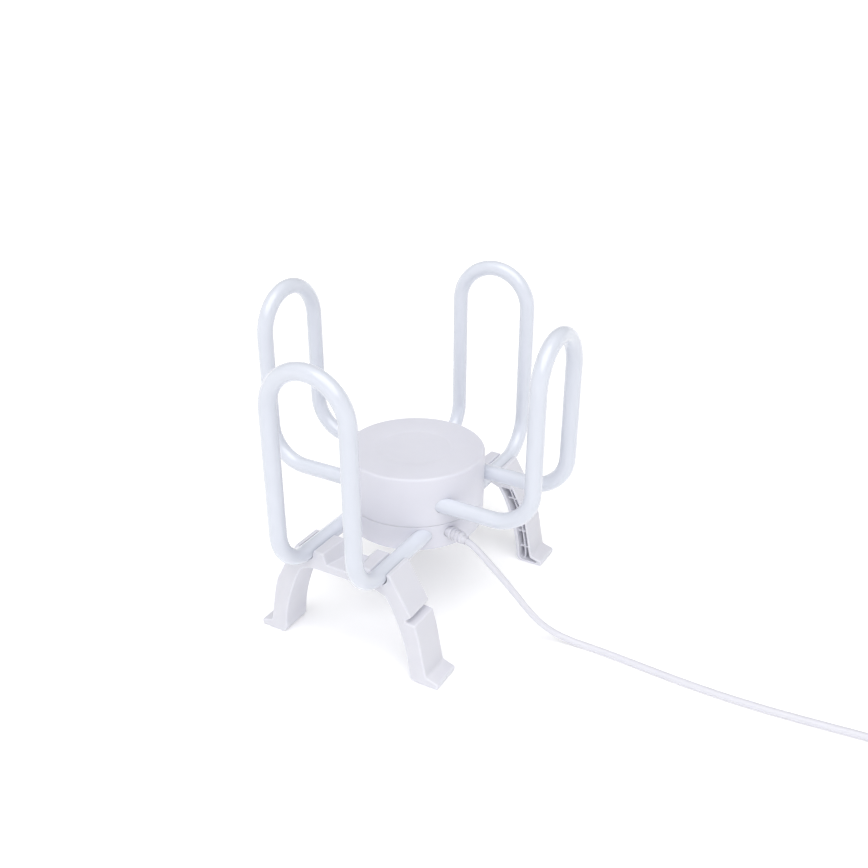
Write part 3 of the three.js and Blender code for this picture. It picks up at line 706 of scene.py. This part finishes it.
def coil_tie():
    """A soft strap round the coil's bundle of turns."""
    half_radial = COIL_LANE * (COIL_LANES - 1) / 2 + CORD_R
    height = 2 * CORD_R + COIL_LANE
    outer = rounded_box(half_radial + TIE_THICKNESS, 0.02 * MM, height + TIE_THICKNESS, 3 * MM)
    inner = rounded_box(half_radial, 0.4 * MM, height, 2.6 * MM)
    count = len(outer)
    points, faces = [], []
    for y in (-TIE_HALF_WIDTH, TIE_HALF_WIDTH):
        points += [(p.x, y, p.y) for p in outer] + [(p.x, y, p.y) for p in inner]
    for i in range(count):
        j = (i + 1) % count
        faces.append((i, j, 2 * count + j, 2 * count + i))
        faces.append((count + i, 3 * count + i, 3 * count + j, count + j))
        faces.append((i, count + i, count + j, j))
        faces.append((2 * count + i, 2 * count + j, 3 * count + j, 3 * count + i))
    mesh = mesh_from("tie", points, faces)
    x, y = COIL_MIDDLE * math.cos(TIE_ANGLE), COIL_MIDDLE * math.sin(TIE_ANGLE)
    place = shifted(COIL_CENTRE.x + x, COIL_CENTRE.y + y, 0)
    return sharpen(moved(mesh, place @ Matrix.Rotation(TIE_ANGLE, 4, "Z")), 40)


tie = add_piece("coil_tie_strap", coil_tie(), "cord_plastic", "base")


# ---- Heated loops ----


def loop_line(level, reach, top, end):
    """One loop's centre line, in the frame of an arm along +X."""
    bend_steps, arch_steps, run = 16, 36, 6
    line = []
    inner = reach - BEND_R
    for k in range(run):
        line.append(Vector((end + (inner - end) * k / run, -HALF_GAP, level)))
    for k in range(bend_steps):
        a = math.pi / 2 * k / bend_steps
        line.append(Vector((inner + BEND_R * math.sin(a), -HALF_GAP, level + BEND_R * (1 - math.cos(a)))))
    shoulder = top - HALF_GAP
    for k in range(run):
        z = level + BEND_R + (shoulder - level - BEND_R) * k / run
        line.append(Vector((reach, -HALF_GAP, z)))
    for k in range(arch_steps // 2):
        a = math.pi * k / arch_steps
        line.append(Vector((reach, -HALF_GAP * math.cos(a), shoulder + HALF_GAP * math.sin(a))))
    crown = Vector((reach, 0, top))
    far_half = [Vector((p.x, -p.y, p.z)) for p in reversed(line)]
    return [*line, crown, *far_half]


def make_loop(side, body, angle, level, reach, top):
    mesh = swept_pipe(f"{side}_tube", loop_line(level, reach, top, TUBE_END), TUBE_R, TUBE_BORE, 40)
    moved(mesh, Matrix.Rotation(math.radians(angle), 4, "Z"))
    add_piece(f"{side}_tube_loop", sharpen(mesh, 50), "white_enamel", body, [f"{side}_loop"])


make_loop("front", "base", -90, LOWER_LEVEL, LOWER_REACH, LOWER_TOP)
make_loop("rear", "base", 90, LOWER_LEVEL, LOWER_REACH, LOWER_TOP)
make_loop("right", "turret", 0, UPPER_LEVEL, UPPER_REACH, UPPER_TOP)
make_loop("left", "turret", 180, UPPER_LEVEL, UPPER_REACH, UPPER_TOP)


# ---- Drum ----


SEAM_EASE = 0.12 * MM
DRUM_SIDES = 192


def tube_cutters(level, angle):
    """Two long rods, a little wider than the tubes, for the holes in a shell's wall."""
    cutters = []
    for side in (-1, 1):
        place = Matrix.Rotation(math.radians(angle), 4, "Z") @ shifted(side * HALF_GAP, 0, level)
        tool = rod(TUBE_R + SEAM_EASE, -2 * DRUM_R, 2 * DRUM_R, 72)
        cutters.append(moved(tool, place @ Matrix.Rotation(math.pi / 2, 4, "X")))
    return cutters


def scaled_profile(outline, steps=5):
    return [tuple(p) for p in rounded([(x, z, r * MM) for x, z, r in outline], steps, closed=False)]


LAP = 1.1 * MM  # how far the lower shell's tongue reaches behind the upper shell's lip
DISH_OUTSIDE = 33.5 * MM  # the shallow round dish in the drum's top
DISH_INSIDE = 28.5 * MM
DISH_DEPTH = 0.4 * MM
DISH_STEPS = 8


def upper_shell_mesh():
    inside = DRUM_R - WALL
    top_wall = 2.4 * MM
    rim = UPPER_RIM - SEAM_EASE
    outline = [
        (inside, UPPER_RIM + LAP, 0),
        (DRUM_R - LAP, UPPER_RIM + LAP, 0),
        (DRUM_R - LAP, rim, 0.2),
        (DRUM_R - 0.1 * MM, rim, 0.35),
        (DRUM_R, UPPER_RIM + 3 * MM, 0),
        (DRUM_R, DRUM_TOP, 2.2),
    ]
    for k in range(DISH_STEPS + 1):
        share = k / DISH_STEPS
        depth = DISH_DEPTH * (1 - math.cos(math.pi * share)) / 2
        outline.append((DISH_OUTSIDE + (DISH_INSIDE - DISH_OUTSIDE) * share, DRUM_TOP - depth, 0))
    outline += [
        (0, DRUM_TOP - DISH_DEPTH, 0),
        (0, DRUM_TOP - top_wall, 0),
        (inside, DRUM_TOP - top_wall, 1),
        (inside, UPPER_RIM + LAP, 0),
    ]
    shell = turned("upper_shell_mesh", scaled_profile(outline)[:-1], DRUM_SIDES)
    return sharpen(cut(shell, *tube_cutters(UPPER_LEVEL, 90)), 40)


def lower_shell_mesh():
    inside = DRUM_R - WALL
    floor = DRUM_BOTTOM + WALL
    outline = [
        (0, DRUM_BOTTOM, 0),
        (24 * MM, DRUM_BOTTOM, 0),
        (24.6 * MM, DRUM_BOTTOM + 0.6 * MM, 0),
        (34.4 * MM, DRUM_BOTTOM + 0.6 * MM, 0),
        (35 * MM, DRUM_BOTTOM, 0),
        (DRUM_R - 0.8 * MM, DRUM_BOTTOM, 1.5),
        (DRUM_R - 0.1 * MM, LOWER_RIM + SEAM_EASE, 0.35),
        (DRUM_R - LAP - 0.2 * MM, LOWER_RIM + SEAM_EASE, 0),
        (DRUM_R - LAP - 0.2 * MM, UPPER_RIM + LAP - 0.3 * MM, 0.2),
        (inside, UPPER_RIM + LAP - 0.3 * MM, 0),
        (inside - 0.6 * MM, floor, 0),
        (0, floor, 0),
    ]
    shell = turned("lower_shell_mesh", scaled_profile(outline), DRUM_SIDES, closed=False)
    cutters = tube_cutters(LOWER_LEVEL, 0)
    for k in range(4):
        angle = math.pi / 2 * k
        place = shifted(BOSS_CIRCLE * math.cos(angle), BOSS_CIRCLE * math.sin(angle), 0)
        cutters.append(moved(rod(3.5 * MM, DRUM_BOTTOM - MM, SCREW_SEAT, 40), place))
    start, end = Vector(CORD_ROUTE[0]), Vector(CORD_ROUTE[1])
    aim = (end - start).to_track_quat("Z", "Y").to_matrix().to_4x4()
    cutters.append(moved(rod(4.7 * MM, -9 * MM, 12 * MM, 48), Matrix.Translation(end) @ aim))
    return sharpen(cut(shell, *cutters), 40)


def boss_mesh(angle):
    """The hollow post that a deck screw sits in, seen from below."""
    top = SCREW_SEAT + 13 * MM
    profile = [
        (3.5 * MM, DRUM_BOTTOM + 0.6 * MM),
        (4.6 * MM, DRUM_BOTTOM + 0.6 * MM),
        (4.6 * MM, top),
        (1.9 * MM, top),
        (1.9 * MM, SCREW_SEAT),
        (3.5 * MM, SCREW_SEAT),
    ]
    place = shifted(BOSS_CIRCLE * math.cos(angle), BOSS_CIRCLE * math.sin(angle), 0)
    return moved(turned("boss", profile, 40), place)


def screw_head(place, radius, height, length):
    """A pan-head screw that looks down, with a cross recess in its head."""
    profile = [
        (0, -height, 0),
        (radius, -height, 0.9 * height / MM),
        (radius, 0, 0.15),
        (0.5 * radius, 0, 0.1),
        (0.5 * radius, length, 0.4),
        (0, length, 0),
    ]
    head = turned("screw", scaled_profile(profile, 6), 40, closed=False)
    recess = []
    for angle in (0.4, 0.4 + math.pi / 2):
        bar = bmesh.new()
        bmesh.ops.create_cube(bar, size=1)
        blade = bpy.data.meshes.new("blade")
        bar.to_mesh(blade)
        bar.free()
        size = Matrix.Diagonal((1.15 * radius, 0.3 * radius, 1.1 * height, 1))
        turn = Matrix.Rotation(angle, 4, "Z")
        recess.append(moved(blade, shifted(0, 0, -height) @ turn @ size))
    return sharpen(moved(cut(head, *recess), place), 35)


def make_drum():
    add_piece("upper_drum_shell", upper_shell_mesh(), "shell_plastic", "turret", ["upper_shell"])
    bosses = [boss_mesh(math.pi / 2 * k) for k in range(4)]
    lower = joined("lower_drum", lower_shell_mesh(), *bosses)
    add_piece("lower_drum_shell", sharpen(lower, 40), "shell_plastic", "base", ["lower_shell"])
    for k in range(4):
        angle = math.pi / 2 * k
        place = shifted(BOSS_CIRCLE * math.cos(angle), BOSS_CIRCLE * math.sin(angle), SCREW_SEAT - GAP)
        mesh = screw_head(place, 3 * MM, 2.1 * MM, 14 * MM)
        add_piece(f"deck_screw_pan_{k + 1}", mesh, "steel", "base", [f"deck_screw_{k + 1}"])


make_drum()


# ---- Leg brackets ----

BRACKET_NEAR = 82.8  # the open face, towards the drum
BRACKET_FAR = 110.5
BRACKET_WALL = 1.8
BRACKET_BOTTOM = 74
DECK_LEVEL = 81.5
RAIL_TOP = 90.6
HEEL_WALL = 3.4  # on the inside of the arch
RIB_RECESS = 4.2
CHANNEL_END = BRACKET_FAR - 2.2
CHANNEL_LEVELS = (72, 64.9, 61, 57.8, 50.8, 49.4, 43.3, 38.8, 30.9, 23.9, 18.8, 9.4)
CHANNEL_FOOT = [(73, 5.8, 2), (79.6, 3.9, 0.6), (79.6, 2, 0.6), (64.4, 2, 1.6), (62.2, 5, 1.6)]
EDGE_STEPS = 4
RIB_HALF = 0.8
RIB_LEVELS = (13.9, 29.6, 45.3, 61)
RIB_SHARE = 0.45  # where the long rib stands, across the channel
# A leg's two edges as (x, z) in millimetres, from the bar down to the floor
LEG_INNER = [(36.6, 73.4), (42.1, 64.9), (46.7, 55.2), (51.2, 43.3), (55, 30.9), (57.5, 18.8), (58.9, 6.2)]
LEG_OUTER = [(73.5, 9.4), (70.9, 23.9), (68.1, 38.8), (64.8, 51.6)]
LEG_SHOULDER = [(61, 59), (56.9, 67), (52.4, 74.7), (48, 82.4), (43.4, 89.8)]
CORD_NOTCH = [(64.6, 52.7, 1.1), (56.3, 53.3, 1), (56.5, 55.6, 1), (61.2, 59.2, 1.2)]
ROUND_NOTCH = [(65.3, 49.4), (56.2, 50.8), (56.2, 57.8)]  # the channel's way past the notch
INNER_RAIL = [(17.1, RAIL_TOP), (13.9, DECK_LEVEL)]
RAIL_RAMP = [(15.2, RAIL_TOP), (7, DECK_LEVEL)]  # where the rail's side ends at the open face


def plane_line(points, spacing):
    """A smooth line through (x, z) points, as (x, z, 0) corners."""
    line = smooth_line([(x, z, 0) for x, z in points], spacing)
    return [(p.x, p.y, 0) for p in line]


def mirrored_line(corners):
    return [(-x, z, radius) for x, z, radius in reversed(corners)]


def half_outline(notched, rail):
    """Half of the bracket's section, from the middle of its underside round the foot to its deck."""
    outer = plane_line(LEG_OUTER, 4)[1:]
    shoulder = plane_line(LEG_SHOULDER, 4)[1:-1]
    if notched:
        side = [*outer[:-1], *CORD_NOTCH, *shoulder]
    else:
        side = [*outer, *plane_line([LEG_OUTER[-1], (63, 55.7), LEG_SHOULDER[0]], 3)[1:], *shoulder]
    return [
        (29.5, BRACKET_BOTTOM, 10),
        *plane_line(LEG_INNER, 4)[1:-1],
        (59.2, 3.2, 3),
        (63, 0, 3.4),
        (83.9, 0, 1.6),
        (84.4, 4.9, 1.4),
        (74, 7.9, 2.6),
        *side,
        (43.2, RAIL_TOP, 1.1),
        (*rail[0], 1.1),
        (*rail[1], 0.8),
    ]


def inset(outline, distance):
    """A closed outline moved this far into the shape that it surrounds."""
    count = len(outline)
    area = sum(outline[i - 1].x * outline[i].y - outline[i].x * outline[i - 1].y for i in range(count))
    sign = math.copysign(1, area)
    result = []
    for i, here in enumerate(outline):
        before = (here - outline[i - 1]).normalized()
        after = (outline[(i + 1) % count] - here).normalized()
        along = (before + after).normalized()
        reach = distance / max(0.5, along.dot(after))
        result.append(here + Vector((-along.y, along.x)) * sign * reach)
    return result


def slab(name, corners, y0, y1, steps=5, far_corners=None, edge=0.0):
    """An outline of (x, z, corner radius) millimetres pushed along Y, ending in another one if given.

    edge is the radius that rounds the rims of its two flat ends.
    """
    near = rounded(corners, steps, closed=True)
    far = rounded(far_corners or corners, steps, closed=True)
    count = len(near)
    rings = [(near, y0), (far, y1)]
    if edge:
        arc = [math.pi / 2 * k / EDGE_STEPS for k in range(EDGE_STEPS + 1)]
        steps_in = [(edge * (1 - math.sin(a)), edge * (1 - math.cos(a))) for a in arc]
        rings = [(inset(near, across), y0 + along) for across, along in steps_in]
        rings += [(inset(far, across), y1 - along) for across, along in reversed(steps_in)]
    points = [(p.x * MM, y * MM, p.y * MM) for ring, y in rings for p in ring]
    faces = []
    for start in range(0, count * (len(rings) - 1), count):
        for i in range(count):
            here, there = start + i, start + (i + 1) % count
            faces += [(here, there, count + there), (here, count + there, count + here)]
    last = count * (len(rings) - 1)
    for triangle in tessellate_polygon([[(p.x, p.y, 0) for p in rings[0][0]]]):
        faces.append(tuple(triangle))
    for triangle in tessellate_polygon([[(p.x, p.y, 0) for p in rings[-1][0]]]):
        faces.append(tuple(last + i for i in reversed(triangle)))
    mesh = mesh_from(name, points, faces, smooth=False)
    work = bmesh.new()
    work.from_mesh(mesh)
    flat = {"angle_limit": 0.001, "verts": work.verts, "edges": work.edges}
    bmesh.ops.dissolve_limit(work, **flat, use_dissolve_boundaries=False)
    work.to_mesh(mesh)
    work.free()
    return mesh


def edge_at(edge, z):
    """x on an edge at this height."""
    ordered = sorted(edge, key=lambda p: -p[1])
    for (x0, z0), (x1, z1) in zip(ordered, ordered[1:]):
        if z1 <= z <= z0:
            return x0 + (x1 - x0) * (z - z0) / (z1 - z0)
    return ordered[0][0] if z > ordered[0][1] else ordered[-1][0]


def leg_channel(outer_edge):
    """The channel that the mould leaves in a leg, with one long rib and cross ribs set back in it."""
    inner = [(edge_at(LEG_INNER, z) + HEEL_WALL, z, 0) for z in CHANNEL_LEVELS]
    outer = [(edge_at(outer_edge, z) - BRACKET_WALL, z, 0) for z in CHANNEL_LEVELS]
    middle = [(a[0] + RIB_SHARE * (b[0] - a[0]), a[1]) for a, b in zip(inner, outer)]
    top = CHANNEL_LEVELS[0]
    outline = [(outer[0][0], top, 0.6), *outer[1:], *CHANNEL_FOOT]
    outline += [*reversed(inner[1:]), (inner[0][0], top, 0.6)]
    channel = slab("channel", outline, BRACKET_NEAR - 1, CHANNEL_END, 3)
    ribs_near = BRACKET_NEAR + RIB_RECESS
    right = [(x + RIB_HALF, z, 0) for x, z in middle]
    left = [(x - RIB_HALF, z, 0) for x, z in middle]
    right[0], left[0] = (right[0][0], 74, 0), (left[0][0], 74, 0)
    right.append((right[-1][0], 1, 0))
    left.append((left[-1][0], 1, 0))
    ribs = [slab("long_rib", [*right, *reversed(left)], ribs_near, BRACKET_FAR)]
    for z in RIB_LEVELS:
        low, high = z - RIB_HALF, z + RIB_HALF
        corners = [(44, low, 0), (80, low, 0), (80, high, 0), (44, high, 0)]
        ribs.append(slab("cross_rib", corners, ribs_near, BRACKET_FAR))
    return cut(channel, *ribs)


def flipped(mesh):
    """The mesh mirrored in the middle plane."""
    mesh.transform(Matrix.Diagonal((-1, 1, 1, 1)))
    mesh.flip_normals()
    return mesh


def tube_saddles():
    """Cutters for the tubes, each with a mouth that slopes down from the inner rail."""
    tools = []
    for side in (-1, 1):
        seat = rod(TUBE_R + 0.5 * MM, 75 * MM, 120 * MM, 64)
        turn = Matrix.Rotation(-math.pi / 2, 4, "X")
        tools.append(moved(seat, shifted(side * (HALF_GAP + 0.25 * MM), 0, LOWER_LEVEL) @ turn))
    mouth = [(24.9, 92, 0), (33.5, 92, 0), (33.5, 87, 0), (27, 87.6, 0)]
    tools.append(slab("mouth", mouth, 75, 120))
    tools.append(flipped(slab("mouth", mouth, 75, 120)))
    return tools


def softened(mesh, width, segments):
    """The mesh with its sharp edges rounded over a width in millimetres."""
    settings = {
        "width": width * MM,
        "segments": segments,
        "limit_method": "ANGLE",
        "angle_limit": math.radians(40),
        "use_clamp_overlap": False,
        "miter_outer": "MITER_ARC",
    }
    return applied(mesh, ("BEVEL", settings))


def bracket_mesh():
    """A bracket with two legs, one of them with a notch that the mains cord can be pressed into."""
    near, far = (
        [*half_outline(False, rail), *mirrored_line(half_outline(True, rail))]
        for rail in (RAIL_RAMP, INNER_RAIL)
    )
    body = slab("bracket", near, BRACKET_NEAR, BRACKET_FAR, far_corners=far, edge=0.9)
    plain = leg_channel([*LEG_OUTER, *LEG_SHOULDER])
    notched = flipped(leg_channel([*LEG_OUTER[:-1], *ROUND_NOTCH, *LEG_SHOULDER]))
    bar_corners = [(-25, 76.1, 0.6), (25, 76.1, 0.6), (25, 79.4, 0.6), (-25, 79.4, 0.6)]
    bar = slab("bar", bar_corners, BRACKET_NEAR - 1, CHANNEL_END, 3)
    body = cut(body, plain, notched, bar, *tube_saddles())
    return sharpen(softened(body, 0.4, 2), 38)


def make_brackets():
    rear = bracket_mesh()
    front = rear.copy()
    moved(front, Matrix.Rotation(math.pi, 4, "Z"))
    add_piece("rear_legs", rear, "bracket_plastic", "base", ["rear_leg_bracket"])
    add_piece("front_legs", front, "bracket_plastic", "base", ["front_leg_bracket"])


make_brackets()


# ---- Carried-over CAD nodes ----


def finish_nodes():
    """Gives each CAD node that still shows its own material."""
    slots = {row["node"]: row["material_slot"] for row in frame["record"]["subparts"]}
    for name, node in frame["nodes"].items():
        node.data.materials.clear()
        node.data.materials.append(MATERIALS[slots[name]])


finish_nodes()


# ---- Floor and light ----


FLOOR_HALF = 60.0
FLOOR_DROP = 0.4 * MM  # clear of the feet
BRIGHT_UP_TO, DIM_FROM = 0.08, 0.3  # sine of the elevation


def make_floor():
    corners = [(-1, -1), (1, -1), (1, 1), (-1, 1)]
    mesh = mesh_from("floor", [(x * FLOOR_HALF, y * FLOOR_HALF, 0) for x, y in corners], [(0, 1, 2, 3)])
    floor = bpy.data.objects.new("floor", mesh)
    bpy.context.scene.collection.objects.link(floor)
    floor.location.z = -FLOOR_DROP
    material, nodes, links = new_material("floor_paper")
    shader = nodes["Principled BSDF"]
    shader.inputs["Roughness"].default_value = 0.9
    tone = spread(nodes, links, noise(nodes, links, 2.0), 0.0, 1.0)
    paper = mixed(nodes, links, tone, (0.93, 0.93, 0.93), (0.92, 0.92, 0.925))
    links.new(paper, shader.inputs["Base Color"])
    shader.inputs["Emission Color"].default_value = (1, 1, 1, 1)
    shader.inputs["Emission Strength"].default_value = 0.2
    mesh.materials.append(material)


def soft_sun(name, azimuth, elevation, strength, width):
    """A distant soft box this many degrees wide, at an azimuth from the front towards the right."""
    light = bpy.data.lights.new(name, "SUN")
    light.energy = strength
    light.angle = math.radians(width)
    lamp = bpy.data.objects.new(name, light)
    bpy.context.scene.collection.objects.link(lamp)
    across, up = math.radians(azimuth), math.radians(elevation)
    aim = Vector((math.sin(across) * math.cos(up), -math.cos(across) * math.cos(up), math.sin(up)))
    lamp.rotation_mode = "QUATERNION"
    lamp.rotation_quaternion = (-aim).to_track_quat("-Z", "Y")


def make_world(horizon, zenith):
    """A studio backdrop that is bright at the horizon and dims towards the zenith."""
    world = bpy.data.worlds.new("studio")
    bpy.context.scene.world = world
    world.use_nodes = True
    nodes, links = world.node_tree.nodes, world.node_tree.links
    direction = nodes.new("ShaderNodeTexCoord")
    parts = nodes.new("ShaderNodeSeparateXYZ")
    links.new(direction.outputs["Generated"], parts.inputs[0])
    height = spread(nodes, links, parts.outputs["Z"], horizon, zenith, BRIGHT_UP_TO, DIM_FROM)
    background = nodes["Background"]
    background.inputs["Color"].default_value = (1.0, 1.0, 1.0, 1)
    links.new(height, background.inputs["Strength"])


make_floor()
make_world(1.0, 0.32)
soft_sun("key", 32, 61, 1.9, 60)
soft_sun("fill", -48, 38, 0.22, 70)
soft_sun("top", 0, 86, 0.48, 70)
bpy.context.scene.view_settings.view_transform = "Standard"
